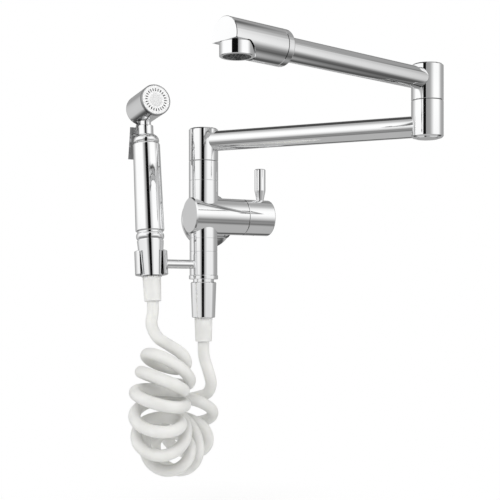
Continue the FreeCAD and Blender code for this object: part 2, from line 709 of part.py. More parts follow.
def knuckle_shape(name, bottom, top, tube_height):
    """A closed knuckle that sits on a stem and holds a tube on its +X side."""
    solid = turned(name + "_solid", [
        (stem_radius + fit_gap, bottom), (column_radius - seam_edge, bottom),
        (column_radius, bottom + seam_edge), (column_radius, top - knuckle_edge),
        (column_radius - knuckle_edge, top), (0, top), (0, top - knuckle_roof),
        (chamber_radius, top - knuckle_roof), (chamber_radius, bottom + stem_into_knuckle),
        (stem_radius + fit_gap, bottom + stem_into_knuckle)])
    socket = rod(name + "_socket", tube_radius + fit_gap, column_radius + overrun, (0, 0, tube_height), "x")
    return cut(name + "_shape", solid, socket)


def make_arms():
    tube_start = chamber_radius + shaft_gap
    bore = tube_radius - tube_wall
    inner = ring("inner_tube_shape", bore, tube_radius, tube_start, inner_arm_length - tube_start, "x")
    inner_place = ((column_x, column_y, inner_arm_height), Z_AXIS, inner_arm_angle)
    keep(inner, "inner_tube", inner_place)

    collar_start = outer_arm_length + spout_nose - spout_head_length - spout_collar_length
    outer_end = collar_start + spout_collar_length + spout_socket
    outer = ring("outer_tube_shape", bore, tube_radius, tube_start, outer_end, "x")
    outer_place = ((elbow_x, elbow_y, outer_arm_height), Z_AXIS, outer_arm_angle)
    keep(outer, "outer_tube", outer_place)
    collar = turned("spout_collar_shape", [
        (tube_radius + fit_gap, collar_start), (spout_radius - soft_edge, collar_start),
        (spout_radius, collar_start + soft_edge, soft_edge, 1),
        (spout_radius, collar_start + spout_collar_length - seam_edge),
        (spout_radius - seam_edge, collar_start + spout_collar_length),
        (tube_radius + fit_gap, collar_start + spout_collar_length)], "x")
    keep(collar, "spout_collar", outer_place)


def make_elbow():
    bearing_bottom = elbow_joint - elbow_bearing
    lower = turned("elbow_lower_solid", [
        (chamber_radius, elbow_bottom), (column_radius - knuckle_edge, elbow_bottom),
        (column_radius, elbow_bottom + knuckle_edge), (column_radius, elbow_joint - seam_edge),
        (column_radius - seam_edge, elbow_joint), (washer_radius + fit_gap, elbow_joint),
        (washer_radius + fit_gap, elbow_joint - washer_sunk),
        (stem_radius + shaft_gap, elbow_joint - washer_sunk), (stem_radius + shaft_gap, bearing_bottom),
        (chamber_radius, bearing_bottom)])
    socket = rod("elbow_lower_socket", tube_radius + fit_gap, column_radius + overrun,
                 (-column_radius - overrun, 0, inner_arm_height), "x")
    keep(cut("elbow_lower_shape", lower, socket), "elbow_lower", ELBOW_LOWER)
    plug = turned("plug", [
        (0, elbow_bottom - plug_rim), (plug_radius - seam_edge, elbow_bottom - plug_rim),
        (plug_radius, elbow_bottom - plug_rim + seam_edge), (plug_radius, elbow_bottom),
        (chamber_radius - fit_gap, elbow_bottom), (chamber_radius - fit_gap, elbow_bottom + plug_depth),
        (0, elbow_bottom + plug_depth)])
    keep(plug, "elbow_plug", ELBOW_LOWER)
    keep(ring("elbow_washer_shape", stem_radius + shaft_gap, washer_radius, elbow_joint - washer_sunk,
              elbow_joint - washer_sunk + washer_thickness), "elbow_washer", ELBOW_LOWER)

    upper_bottom = elbow_joint + joint_gap
    keep(knuckle_shape("elbow_upper", upper_bottom, elbow_top, outer_arm_height), "elbow_upper", OUTER_ARM)
    stem_foot = bearing_bottom - elbow_stem_overhang
    clip_start = bearing_bottom - running_gap - clip_thickness
    first = bearing_bottom + overrun
    stem = turned("elbow_stem_shape", [
        (stem_bore_radius, stem_foot), (stem_radius, stem_foot), (stem_radius, clip_start - fit_gap),
        (stem_radius - groove_depth, clip_start - fit_gap),
        (stem_radius - groove_depth, clip_start + clip_thickness + fit_gap),
        (stem_radius, clip_start + clip_thickness + fit_gap)]
        + grooves(stem_radius, first, 2)
        + [(stem_radius, upper_bottom + stem_into_knuckle),
           (stem_bore_radius, upper_bottom + stem_into_knuckle)])
    keep(stem, "elbow_stem", OUTER_ARM)
    keep(seals("elbow_rings", first, 2), "elbow_seals", OUTER_ARM)
    clip = ring("clip_ring", stem_radius - groove_depth + fit_gap, clip_radius, clip_start,
                clip_start + clip_thickness)
    opening = block("clip_opening", (clip_radius * 2, stem_radius, clip_thickness + overrun * 2),
                    (0, -stem_radius / 2, clip_start - overrun))
    keep(cut("clip_shape", clip, opening), "elbow_clip", OUTER_ARM)


# Spout head and aerator

def make_spout():
    tip = outer_arm_length + spout_nose
    start = tip - spout_head_length
    height = outer_arm_height
    seat = height - notch_drop
    head = turned("spout_solid", [
        (0, start), (spout_radius - seam_edge, start), (spout_radius, start + seam_edge),
        (spout_radius, tip - seam_edge), (spout_radius - seam_edge, tip), (0, tip)], "x")
    place(head, (0, 0, height))
    deep = spout_radius + overrun
    notch = joined("spout_notch", [
        rod("notch_round", notch_radius, deep, (outer_arm_length, 0, seat - deep)),
        block("notch_front", (spout_nose + overrun, notch_radius * 2, deep),
              (outer_arm_length, -notch_radius, seat - deep))])
    nipple = rod("spout_nipple", nipple_radius, nipple_length + overrun,
                 (outer_arm_length, 0, seat - nipple_length))
    bores = joined("spout_bores", [
        rod("tube_socket", tube_radius + fit_gap, spout_socket + overrun, (start - overrun, 0, height), "x"),
        rod("spout_water", spout_water_radius, outer_arm_length - start, (start, 0, height), "x"),
        rod("outlet_bore", spout_bore_radius, notch_drop + nipple_length + overrun,
            (outer_arm_length, 0, seat - nipple_length - overrun))])
    body = joined("spout_body", [cut("spout_notched", head, notch), nipple])
    keep(cut("spout_shape", body, bores), "spout_head", OUTER_ARM)

    foot = height - aerator_drop
    nipple_foot = seat - nipple_length
    housing = turned("aerator_housing_shape", [
        (aerator_lip_radius, foot), (aerator_radius - seam_edge, foot),
        (aerator_radius, foot + seam_edge), (aerator_radius, seat - seam_edge * 2),
        (aerator_radius - seam_edge, seat - seam_edge), (nipple_radius + fit_gap, seat - seam_edge),
        (nipple_radius + fit_gap, nipple_foot - aerator_washer_thickness),
        (insert_radius + fit_gap, nipple_foot - aerator_washer_thickness),
        (insert_radius + fit_gap, foot + aerator_lip), (aerator_lip_radius, foot + aerator_lip)])
    outlet = ((elbow_x + outer_arm_length * cosine(outer_arm_angle),
               elbow_y + outer_arm_length * sine(outer_arm_angle), 0), Z_AXIS, outer_arm_angle)
    keep(housing, "aerator_housing", outlet)
    keep(ring("aerator_washer_shape", spout_bore_radius + overrun, nipple_radius,
              nipple_foot - aerator_washer_thickness, nipple_foot), "aerator_washer", outlet)
    insert_foot = foot + aerator_lip
    insert = turned("insert_solid", [
        (0, insert_foot), (insert_radius, insert_foot),
        (insert_radius, nipple_foot - aerator_washer_thickness),
        (insert_radius - aerator_lip, nipple_foot - aerator_washer_thickness),
        (insert_radius - aerator_lip, insert_foot + plate_thickness), (0, insert_foot + plate_thickness)])
    holes = [rod("insert_hole", insert_hole_radius, plate_thickness + overrun * 2,
                 (0, 0, insert_foot - overrun))]
    for row in (1, 2):
        away = insert_hole_pitch * row
        for i in range(6 * row):
            angle = math.radians(360 * i / (6 * row))
            holes.append(rod(f"insert_hole_{row}_{i}", insert_hole_radius, plate_thickness + overrun * 2,
                             (away * math.cos(angle), away * math.sin(angle), insert_foot - overrun)))
    keep(cut("insert_shape", insert, joined("insert_holes", holes)), "aerator_insert", outlet)


# Rings on the tail, the spray's holder and the hose nut

def make_tail():
    bore = tail_radius + fit_gap
    keep(ring("outlet_ring_shape", bore, skirt_radius, -outlet_ring_bottom, -skirt_bottom, "z", seam_edge),
         "outlet_ring", TAP)
    collar = ring("collar_ring", bore, skirt_radius, -holder_collar_bottom, -outlet_ring_bottom, "z",
                  seam_edge)
    rod_hole = rod("collar_hole", rod_radius + fit_gap, rod_seat + overrun,
                   (-skirt_radius - overrun, 0, -rod_height), "x")
    keep(cut("collar_shape", collar, rod_hole), "holder_collar", TAP)
    keep(ring("lock_ring_shape", bore, lock_ring_radius, -lock_ring_bottom, -holder_collar_bottom, "z",
              seam_edge), "lock_ring", TAP)

    rod_end = skirt_radius - rod_seat
    rod_tip = holder_reach - cup_radius + rod_seat
    keep(rod("holder_rod_shape", rod_radius, rod_tip - rod_end, (0, 0, 0), "x"), "holder_rod",
         ((column_x - rod_tip, column_y, -rod_height), Y_AXIS, 90))

    nut = turned("hose_nut_shape", [
        (bore, -hose_nut_top), (hose_nut_radius - knuckle_edge, -hose_nut_top),
        (hose_nut_radius, -hose_nut_top - knuckle_edge, knuckle_edge * 1.1, -1),
        (hose_nut_foot_radius, -hose_nut_bottom + seam_edge),
        (hose_nut_foot_radius - seam_edge, -hose_nut_bottom), (sleeve_radius + fit_gap, -hose_nut_bottom),
        (sleeve_radius + fit_gap, -hose_nut_bottom + sleeve_socket),
        (hose_bore_radius + overrun, -hose_nut_bottom + sleeve_socket),
        (hose_bore_radius + overrun, -hose_nut_top - hose_nut_thread), (bore, -hose_nut_top - hose_nut_thread)])
    keep(nut, "hose_nut", TAP)
    keep(ring("hose_washer_shape", hose_bore_radius, tail_radius - running_gap,
              -tail_bottom - hose_washer_thickness, -tail_bottom), "hose_washer", TAP)
    top = -hose_nut_bottom + sleeve_socket - fit_gap
    keep(sleeve_shape("tap_sleeve", top, -hose_nut_bottom), "tap_hose_sleeve", TAP)


def sleeve_shape(name, top, mouth):
    """The white collar that grips the hose where it leaves a fitting's mouth."""
    foot = mouth - sleeve_length
    return turned(name, [
        (hose_bore_radius, foot), (sleeve_foot_radius - seam_edge, foot),
        (sleeve_foot_radius, foot + seam_edge), (sleeve_radius, mouth), (sleeve_radius, top),
        (hose_bore_radius, top)])


def make_cup():
    slope = (cone_radius - cone_foot_radius) / (cone_top + cone_bottom - soft_edge)
    at_rod = cone_radius - slope * cone_top + running_gap
    cup = turned("cup_ring", [
        (at_rod - slope * cup_bottom, -cup_bottom), (cup_radius - seam_edge, -cup_bottom),
        (cup_radius, -cup_bottom + seam_edge), (cup_radius, cup_top - seam_edge),
        (cup_radius - seam_edge, cup_top), (at_rod + slope * cup_top, cup_top)])
    mouth = block("cup_mouth", (cup_radius + overrun, cup_mouth, cup_top + cup_bottom + overrun * 2), (0, 0, 0))
    across = cosine(cup_mouth_angle)
    along = sine(cup_mouth_angle)
    place(mouth, (along * cup_mouth / 2 - across * (cup_radius + overrun),
                  -along * (cup_radius + overrun) - across * cup_mouth / 2, -cup_bottom - overrun),
          Z_AXIS, cup_mouth_angle)
    hole = rod("cup_hole", rod_radius + fit_gap, cup_radius, (cup_radius - rod_seat, 0, 0), "x")
    keep(cut("cup_shape", cup, joined("cup_cuts", [mouth, hole])), "holder_cup", SPRAY)


# Hand spray

def make_spray_grip():
    socket_top = -cone_bottom + sleeve_socket
    cone = turned("cone", [
        (sleeve_radius + fit_gap, -cone_bottom), (cone_foot_radius - soft_edge / 2, -cone_bottom),
        (cone_foot_radius, -cone_bottom + soft_edge), (cone_radius, cone_top),
        (hose_bore_radius, cone_top), (hose_bore_radius, socket_top), (sleeve_radius + fit_gap, socket_top)])
    keep(cone, "sprayer_cone", SPRAY)
    keep(sleeve_shape("spray_sleeve", socket_top - fit_gap, -cone_bottom), "spray_hose_sleeve", SPRAY)

    half_bead = (bead_end - bead_start) / 2
    bead_arc = (half_bead * half_bead + bead_bulge * bead_bulge) / (bead_bulge * 2)
    grip = turned("grip_shape", [
        (hose_bore_radius + overrun, cone_top), (groove_radius, cone_top), (groove_radius, bead_start),
        (bead_radius, bead_start), (bead_radius, bead_end, bead_arc, 1), (groove_radius, bead_end),
        (groove_radius, grip_start), (grip_foot_radius - soft_edge, grip_start),
        (grip_foot_radius, grip_start + soft_edge, soft_edge, 1),
        (grip_head_radius, grip_end - grip_shoulder),
        (grip_head_radius - grip_shoulder, grip_end, grip_shoulder * 1.1, 1),
        (grip_bore_radius, grip_end), (grip_bore_radius, grip_start),
        (hose_bore_radius + overrun, grip_start)])
    keep(grip, "sprayer_grip", SPRAY)

    run = dome_radius - dome_crown_radius
    rise = dome_end - dome_start
    dome_arc = (run * run + rise * rise) / (run * 2)
    throat_top = head_height - head_radius + head_wall
    spigot = grip_bore_radius - fit_gap
    neck = turned("neck_solid", [
        (throat_bore_radius, grip_end - spigot_length), (spigot, grip_end - spigot_length),
        (spigot, grip_end), (spigot, grip_end + seam_edge * 2), (dome_radius - seam_edge, grip_end + seam_edge * 2),
        (dome_radius, dome_start, dome_start - grip_end + overrun, 1),
        (dome_crown_radius, dome_end, dome_arc, 1),
        (neck_collar_radius, dome_end), (neck_collar_radius, neck_collar_end - seam_edge),
        (neck_collar_radius - seam_edge, neck_collar_end), (throat_radius, neck_collar_end),
        (throat_radius, throat_top), (throat_bore_radius, throat_top)])
    bore = rod("plunger_bore", plunger_radius + shaft_gap, neck_collar_radius + overrun,
               (0, 0, plunger_height), "y")
    keep(cut("neck_shape", neck, bore), "sprayer_neck", SPRAY)


def make_spray_head():
    shell = turned("head_solid", [
        (0, head_back), (0, head_back - head_wall), (head_radius - head_wall, head_back - head_wall),
        (head_radius - head_wall, -head_front), (head_radius, -head_front),
        (head_radius, head_back - head_edge), (head_radius - head_edge, head_back, head_edge, 1)], "y")
    tab_slot = block("tab_slot", (tab_width + running_gap * 2, head_back, head_radius - slot_roof + overrun),
                     (-tab_width / 2 - running_gap, slot_start, -head_radius - overrun))
    throat = rod("throat_hole", throat_radius + fit_gap, head_radius, (0, 0, -head_radius * 1.5))
    pin_hole = rod("pivot_hole", pivot_pin_radius + fit_gap, head_radius * 2,
                   (-head_radius, pivot_back, -pivot_drop), "x")
    keep(cut("head_shape", shell, joined("head_cuts", [tab_slot, throat, pin_hole])), "sprayer_head",
         SPRAY_HEAD)
    keep(rod("pivot_pin_shape", pivot_pin_radius, pivot_pin_length, (0, 0, 0), "x"), "trigger_pin",
         ((spray_x - pivot_pin_length / 2,
           head_y + pivot_back * cosine(spray_lean) - pivot_drop * sine(spray_lean),
           head_z - pivot_back * sine(spray_lean) - pivot_drop * cosine(spray_lean)), Y_AXIS, 90))

    spigot = head_radius - head_wall - fit_gap
    ledge = face_ring_end - face_ledge
    face = turned("face_ring_shape", [
        (spigot - head_wall, -head_front + face_spigot), (spigot, -head_front + face_spigot),
        (spigot, -head_front), (head_radius, -head_front), (head_radius, -face_ring_end + face_edge),
        (head_radius - face_edge, -face_ring_end), (plate_radius + fit_gap, -face_ring_end),
        (plate_radius + fit_gap, -ledge), (spigot - head_wall, -ledge)], "y")
    keep(face, "face_ring", SPRAY_HEAD)
    keep(spray_plate_shape(ledge), "spray_plate", SPRAY_HEAD)
    centre = turned("centre_disc", [
        (0, -ledge - plate_thickness), (disc_face_radius, -ledge - plate_thickness),
        (disc_face_radius - disc_face_rise, -ledge - plate_thickness - disc_face_rise),
        (0, -ledge - plate_thickness - disc_face_rise)], "y")
    keep(centre, "spray_centre", SPRAY_HEAD)


def spray_plate_shape(ledge):
    """The pale face of the spray: a disc with a ring of radial slots."""
    plate = turned("plate_shape", [
        (0, -ledge), (plate_radius, -ledge), (plate_radius, -ledge - plate_thickness),
        (0, -ledge - plate_thickness)], "y")
    sketch = draw_outline(plate, "slot_outline", "XZ_Plane", [
        (slot_inner_radius, -slot_width / 2), (slot_outer_radius, -slot_width / 2),
        (slot_outer_radius, slot_width / 2), (slot_inner_radius, slot_width / 2)])
    slots = plate.newObject("PartDesign::Pocket", "slot")
    slots.Profile = sketch
    slots.Type = "ThroughAll"
    slots.Midplane = True
    turns = plate.newObject("PartDesign::PolarPattern", "slots_round")
    turns.Originals = [slots]
    turns.Axis = (sketch, ["N_Axis"])
    turns.Angle = 360
    turns.setExpression("Occurrences", slot_count.text)
    plate.Tip = turns
    return plate


# Trigger and plunger

def make_trigger():
    half = trigger_width / 2
    inner_curve = trigger_curve - trigger_wall
    centre_drop = root(trigger_curve * trigger_curve - half * half)
    outer_sag = trigger_curve - centre_drop
    inner_half = root(inner_curve * inner_curve - centre_drop * centre_drop)
    plate = doc.addObject("PartDesign::Body", "trigger_plate")
    sketch = draw_outline(plate, "trigger_section", "XY_Plane", [
        (-half, -outer_sag), (half, -outer_sag, trigger_curve, -1),
        (inner_half, -outer_sag), (-inner_half, -outer_sag, inner_curve, 1)])
    pad = plate.newObject("PartDesign::Pad", "trigger_pad")
    pad.Profile = sketch
    pad.Type = "Length"
    pad.setExpression("Length", trigger_length.text)
    pad.Reversed = True
    place(plate, (0, trigger_back, trigger_top), X_AXIS, trigger_flare)

    pivot_height = head_height - pivot_drop
    arm = doc.addObject("PartDesign::Body", "trigger_arm")
    side = draw_outline(arm, "arm_outline", "YZ_Plane", [
        (pivot_back - tab_radius, pivot_height), (pivot_back, pivot_height - tab_radius),
        (trigger_back, trigger_top - web_drop),
        (trigger_back - trigger_wall / 2, trigger_top), (pivot_back + tab_radius, pivot_height)])
    web = arm.newObject("PartDesign::Pad", "arm_pad")
    web.Profile = side
    web.Type = "Length"
    web.setExpression("Length", tab_width.text)
    web.Midplane = True
    boss = rod("trigger_boss", tab_radius, tab_width, (-tab_width / 2, pivot_back, pivot_height), "x")
    hole = rod("trigger_hole", pivot_pin_radius + shaft_gap, tab_width + overrun * 2,
               (-tab_width / 2 - overrun, pivot_back, pivot_height), "x")
    keep(cut("trigger_shape", joined("trigger_solid", [plate, arm, boss]), hole), "trigger", SPRAY)


def make_plunger():
    plunger = turned("plunger_shape", [
        (0, plunger_inner_end), (plunger_radius, plunger_inner_end),
        (plunger_radius, plunger_outer_end - seam_edge), (plunger_radius - seam_edge, plunger_outer_end),
        (0, plunger_outer_end)], "y")
    keep(plunger, "plunger", ((spray_x, column_y + plunger_height * sine(spray_lean),
                               plunger_height * cosine(spray_lean) - rod_height), X_AXIS, -spray_lean))


# Hose: two short leads and the coil between them

# A lead's points, from the middle of its sleeve's foot; the coil carries on from the last of them
SPRAY_LEAD = [(0, 0, 0), (0, -0.993, -9.448), (-6.7, -9.3, -23), (-5.9, -15.7, -30.5)]
TAP_LEAD = [(0, 0, 0), (0, 0, -14), (3.2, 0.5, -27)]


def coil_point(turn):
    """The middle of the hose after a number of turns."""
    share = turn / coil_turns.value
    around = 2 * math.pi * (turn - 0.25)
    ring_radius = (coil_core_radius + hose_radius).value + coil_swell.value * math.sin(math.pi * share)
    sweep = math.radians(coil_sweep_angle.value)
    along = math.radians(coil_start_angle.value) + sweep * share * (1 - coil_ease_share.value * (1 - share))
    turned_by = coil_end_heading_angle.value - coil_start_heading_angle.value
    heading = math.radians(coil_start_heading_angle.value + turned_by * share)
    # next to the bend's centre the rings lie closer than the hose is thick, so they take turns in two layers
    thickness = hose_radius.value * 2
    inner_radius = coil_pitch_share.value * thickness * coil_turns.value / sweep
    at_inner = ((1 + math.cos(around)) / 2) ** coil_stagger_power.value
    layer = coil_stagger_share.value * thickness * math.cos(around / 2) * at_inner
    out = inner_radius + ring_radius * (1 - math.cos(around)) + layer
    across = ring_radius * math.sin(around)
    level = -out * math.cos(along)
    bow = 4 * share * (1 - share)
    return Vector(
        (column_x - coil_centre_left - coil_drift_left * share + coil_bow_right * bow).value
        + level * math.cos(heading) - across * math.sin(heading),
        (column_y - coil_centre_front - coil_drift_front * share - coil_bow_front * bow).value
        + level * math.sin(heading) + across * math.cos(heading),
        (-coil_centre_drop - coil_drift_down * share - coil_bow_down * bow).value - out * math.sin(along))


def coil_direction(turn):
    step = 0.001
    return (coil_point(turn + step) - coil_point(turn - step)).normalize()


def biarc(start, leaving, end, arriving):
    """Two arcs that join a point to another and keep the line's direction at both."""
    gap = end - start
    spread = 2 * (1 - leaving.dot(arriving))
    if spread < 1e-9:
        reach = gap.dot(gap) / (4 * gap.dot(arriving))
    else:
        along = gap.dot(leaving + arriving)
        reach = (math.sqrt(along * along + spread * gap.dot(gap)) - along) / spread
    first = start + leaving * reach
    last = end - arriving * reach
    middle = (first + last) / 2
    return [arc_edge(start, first, middle), arc_edge(middle, last, end)]


def arc_edge(start, corner, end):
    """The arc between two points that is tangent to the lines to the corner between them."""
    centre = (start + end) / 2
    half = (end - start).Length / 2
    lift = (corner - centre).Length
    if lift < half * 1e-4:
        return Part.LineSegment(start, end).toShape()
    rise = half * (math.sqrt(half * half + lift * lift) - half) / lift
    return Part.Arc(start, centre + (corner - centre) * (rise / lift), end).toShape()


def lead_edges(points):
    """Straight runs joined by tangent arcs, each as large as its two runs allow."""
    edges = []
    start = points[0]
    for before, corner, after in zip(points, points[1:], points[2:]):
        back = before - corner
        ahead = after - corner
        reach = 0.45 * min(back.Length, ahead.Length)
        first = corner + back.normalize() * reach
        last = corner + ahead.normalize() * reach
        edges += [Part.LineSegment(start, first).toShape(), arc_edge(first, corner, last)]
        start = last
    return edges + [Part.LineSegment(start, points[-1]).toShape()]


def coil_edges(start, leaving, end, arriving):
    """The coil's line, through quarter turns, with a straight end of one diameter at both leads."""
    straight = hose_radius.value * 2
    quarters = round(coil_turns.value * 4)
    points = [start + leaving * straight]
    directions = [leaving]
    for i in range(quarters + 1):
        points.append(coil_point(i / 4))
        directions.append(coil_direction(i / 4))
    points.append(end - arriving * straight)
    directions.append(arriving)
    edges = [Part.LineSegment(start, points[0]).toShape()]
    for i in range(len(points) - 1):
        edges += biarc(points[i], directions[i], points[i + 1], directions[i + 1])
    return edges + [Part.LineSegment(points[-1], end).toShape()]


def hose_tube(name, edges, start, direction):
    """Keeps a round tube along a line, and prints its volume's share of section times length."""
    path = Part.Wire(edges)
    shell = Part.BRepOffsetAPI.MakePipeShell(path)
    shell.add(Part.Wire([Part.Circle(start, direction, hose_radius.value).toShape()]))
    shell.build()
    shell.makeSolid()
    tube = doc.addObject("Part::Feature", name)
    tube.Shape = shell.shape()
    expected = math.pi * hose_radius.value ** 2 * path.Length
    bends = [edge.Curve.Radius for edge in edges if hasattr(edge.Curve, "Radius")]
    print(f"{name}: {path.Length:.0f} mm long, volume {tube.Shape.Volume / expected:.4f} of section times "
          f"length, {len(bends)} arcs, the tightest {min(bends):.1f} mm, the widest {max(bends):.1f} mm")
    keep(tube, name, WALL)


def least_gap(edges):
    """The least gap of the hose to itself, measured on points along its middle."""
    spacing = hose_radius.value / 4
    apart = round(hose_radius.value * 6 / spacing)
    points = Part.Wire(edges).discretize(Distance=spacing)
    nearest = min((points[i] - points[j]).Length
                  for i in range(len(points)) for j in range(i + apart, len(points)))
    return nearest - hose_radius.value * 2


def make_hose():
    lean = math.radians(spray_lean.value)
    spray_drop = (cone_bottom + sleeve_length).value
    spray_foot = Vector(spray_x.value, column_y.value - spray_drop * math.sin(lean),
                        -rod_height.value - spray_drop * math.cos(lean))
    tap_foot = Vector(column_x.value, column_y.value, (-hose_nut_bottom - sleeve_length).value)
    spray_lead = [spray_foot + Vector(*point) for point in SPRAY_LEAD]
    tap_lead = [tap_foot + Vector(*point) for point in TAP_LEAD]
    leaving = (spray_lead[-1] - spray_lead[-2]).normalize()
    arriving = (tap_lead[-2] - tap_lead[-1]).normalize()
    down = Vector(0, -math.sin(lean), -math.cos(lean))
    first = lead_edges(spray_lead)
    coil = coil_edges(spray_lead[-1], leaving, tap_lead[-1], arriving)
    last = lead_edges(tap_lead)
    hose_tube("hose_lead_spray", first, spray_foot, down)
    hose_tube("hose_coil", coil, spray_lead[-1], leaving)
    hose_tube("hose_lead_tap", last, tap_foot, Z_AXIS * -1)
    print(f"hose: least gap to itself {least_gap(first + coil + last):.2f} mm")


make_inlet()
make_valve()
make_lever()
make_column_swivel()
make_arms()
make_elbow()
make_spout()
make_tail()
make_cup()
make_spray_grip()
make_spray_head()
make_trigger()
make_plunger()
make_hose()
doc.recompute()

for item in doc.Objects:
    if "Invalid" in item.State or "Error" in item.State:
        raise RuntimeError(f"{item.Name} failed: {item.State}")
for name, item in pieces.items():
    shape = item.Shape
    if shape.isNull() or not shape.isValid():
        raise RuntimeError(f"{name} has no valid shape")
    print(f"{name}: {len(shape.Solids)} solid, {shape.Volume:.0f} mm3")
    shape.exportStep(f"parts/{name}.step")
print(len(pieces), "pieces")
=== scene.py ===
"""Looks of the wall-mounted kitchen tap: its camera, hose, materials and studio, round the CAD part."""
import json
import math

import bpy
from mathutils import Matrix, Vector


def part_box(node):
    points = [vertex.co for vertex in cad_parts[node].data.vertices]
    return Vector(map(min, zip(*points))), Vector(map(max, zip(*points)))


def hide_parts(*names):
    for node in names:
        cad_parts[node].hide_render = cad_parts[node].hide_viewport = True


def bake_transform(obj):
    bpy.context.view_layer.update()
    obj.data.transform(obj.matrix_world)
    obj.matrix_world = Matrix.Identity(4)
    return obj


MM = 0.001

# Camera: level, a little above the column's foot, with its frame shifted up
CAMERA_PLACE = (-0.4609, -0.961, -0.0787)
CAMERA_HEADING = math.radians(-28)
CAMERA_LENS = 75.6
CAMERA_SENSOR = 36
CAMERA_RISE = 0.096

# The column's axis and the feet of the two hose sleeves
COLUMN = Vector((-0.028, -0.052, 0))
SPRAY_FOOT = Vector((-0.082, -0.05569, -0.08171))
TAP_FOOT = Vector((-0.028, -0.052, -0.1202))

# The hose's leads, in millimetres from the feet. They bend more than the CAD part's
SPRAY_LEAD = [(0, 0, 0), (0, -0.993, -9.448), (-3.4, -3.2, -21.1), (-1.4, -12.2, -33.3), (8.4, -28.7, -42.5)]
TAP_LEAD = [(0, 0, 0), (0, 0, -14), (5.4, -0.5, -30), (9.5, 1.3, -41.5), (8, 7.2, -51.5), (-2.5, 13.4, -54.5)]

# The hose's coil, in millimetres and degrees, as in the CAD part
HOSE_RADIUS = 5.5
COIL_TURNS = 9.25
COIL_FIRST_TURN = 0.25
COIL_CORE_RADIUS = 13.8
COIL_SWELL = 3.1
COIL_CENTRE = (-16.6, -0.15, -158.3)
COIL_DRIFT = (-29.2, -9.5, -9.2)
COIL_BOW = (1.8, -5.2, -1.9)
COIL_START_ANGLE = -30.5
COIL_SWEEP_ANGLE = 200
COIL_START_HEADING = 43.6
COIL_END_HEADING = 28.9
COIL_EASE_SHARE = 0.47
COIL_PITCH_SHARE = 0.982
COIL_STAGGER_SHARE = 0.665
COIL_STAGGER_POWER = 1.64
# What the CAD part's coil lacks: its upper turns hang askew, with this drop for each length to the right,
# and none at this length to the left of the coil's middle
COIL_SKEW = 0.28
COIL_SKEW_MIDDLE = 30

# The hose's mesh, a lead's rounding as a share of its shorter run, and the turn over which the coil's
# direction is measured
POINTS_PER_ARC = 8
HOSE_SIDES = 24
ROUNDING_SHARE = 0.45
SMALL_TURN = 0.001

# The noise values between which a roughness or a colour changes, and the roughness noise's detail
ROUGHNESS_BAND = (0.3, 0.7)
COLOUR_BAND = (0.35, 0.65)
ROUGHNESS_DETAIL = 4.0

# The spray's face: the way it looks, how deep the painted shade in its slots reaches and how dark it is, and
# the chrome by it that is darkened to paint the shade of the spray's own head and grip
SPRAY_FACING = Vector((0, -math.cos(math.radians(6)), math.sin(math.radians(6))))
# Painted shade in the slots: the depth behind the face where it is full, and its near-black colour
SLOT_PAINTED_SHADE_DEPTH = 0.0004
SLOT_PAINTED_SHADE = (0.03, 0.03, 0.03, 1)
PAINTED_SHADE_NODES = ("trigger", "face_ring")

# Studio: a floor below the hose that fades to white away from the object, and a card
FLOOR_DROP = 0.06
FLOOR_SIZE = 12
FLOOR_FADE = [(0.0, 0.3), (0.3, 1)]
CARD_PLACE = (-0.2768, -0.4699, 0)
CARD_WIDTH = 0.19
CARD_HEIGHT = 1.2

# Lamps: name, place, what it looks at, size and power
LAMPS = [
    ("key", (-1.3, -1.5, 1.3), (-0.02, -0.1, -0.05), 1.2, 26),
    ("fill", (1.5, -1.1, 0.5), (0, -0.1, -0.05), 1.4, 10),
    ("back", (0.3, 1.5, 1.1), (0, -0.1, -0.05), 1.2, 12)]

# The room: the light of its walls in the chrome, and that on matt pieces
WALL_LIGHT = 1.1
MATT_LIGHT = (0.62, 0.62, 0.62, 1)
WHITE = (1, 1, 1, 1)

# What the chrome sees of the walls, as degrees and greys, by bearing: nought is the camera's side, and the
# viewer's left is negative
BEARINGS = [
    (-180, 0.33), (-142, 0.33), (-132, 0.5), (-118, 0.6), (-100, 0.95), (-35, 1), (-24, 0.6), (-14, 0.3),
    (10, 0.36), (22, 0.6), (38, 0.95), (72, 1), (84, 0.78), (93, 0.58), (101, 0.4), (125, 0.34), (180, 0.33)]

# A dark patch overhead that the inner arm's upper edge shows: its greys by bearing, its share by height
PATCH_BEARINGS = [(-180, 0.06), (-112, 0.06), (-98, 1), (165, 1), (180, 0.06)]
PATCH_HEIGHTS = [(-90, 0), (24, 0), (42, 1), (90, 1)]

# The walls by height, for the camera's half of the room and for the half behind the object
FRONT_HEIGHTS = [
    (-90, 0.42), (-62, 0.42), (-50, 0.42), (-45, 0.3), (-40, 0.15), (-34, 0.25), (-28, 0.26), (-23, 0.2),
    (-17, 0.36), (-10, 0.56), (0, 0.8), (10, 0.96), (32, 0.97), (44, 0.86), (53, 0.66), (61, 0.48), (90, 0.3)]
BACK_HEIGHTS = [
    (-90, 0.42), (-62, 0.42), (-50, 0.42), (-45, 0.2), (-40, 0.08), (-30, 0.08), (-20, 0.6), (-10, 1),
    (14, 1), (24, 0.6), (30, 0.3), (34, 0.1), (38, 0.3), (47, 0.34), (51, 0.08), (57, 0.36), (90, 0.36)]

# The share of the half behind, by bearing, and how far the walls' bearings stop counting, by height
BEHIND = [(-180, 1), (-130, 1), (-100, 0), (75, 0), (110, 1), (180, 1)]
CEILING = [(-90, 1), (-48, 1), (-28, 0), (24, 0), (44, 1), (90, 1)]


def add_camera():
    camera = bpy.data.objects.new("camera", bpy.data.cameras.new("camera"))
    camera.data.lens = CAMERA_LENS
    camera.data.sensor_width = CAMERA_SENSOR
    camera.data.shift_y = CAMERA_RISE
    camera.location = CAMERA_PLACE
    camera.rotation_euler = (math.radians(90), 0, CAMERA_HEADING)
    bpy.context.scene.collection.objects.link(camera)
    bpy.context.scene.camera = camera


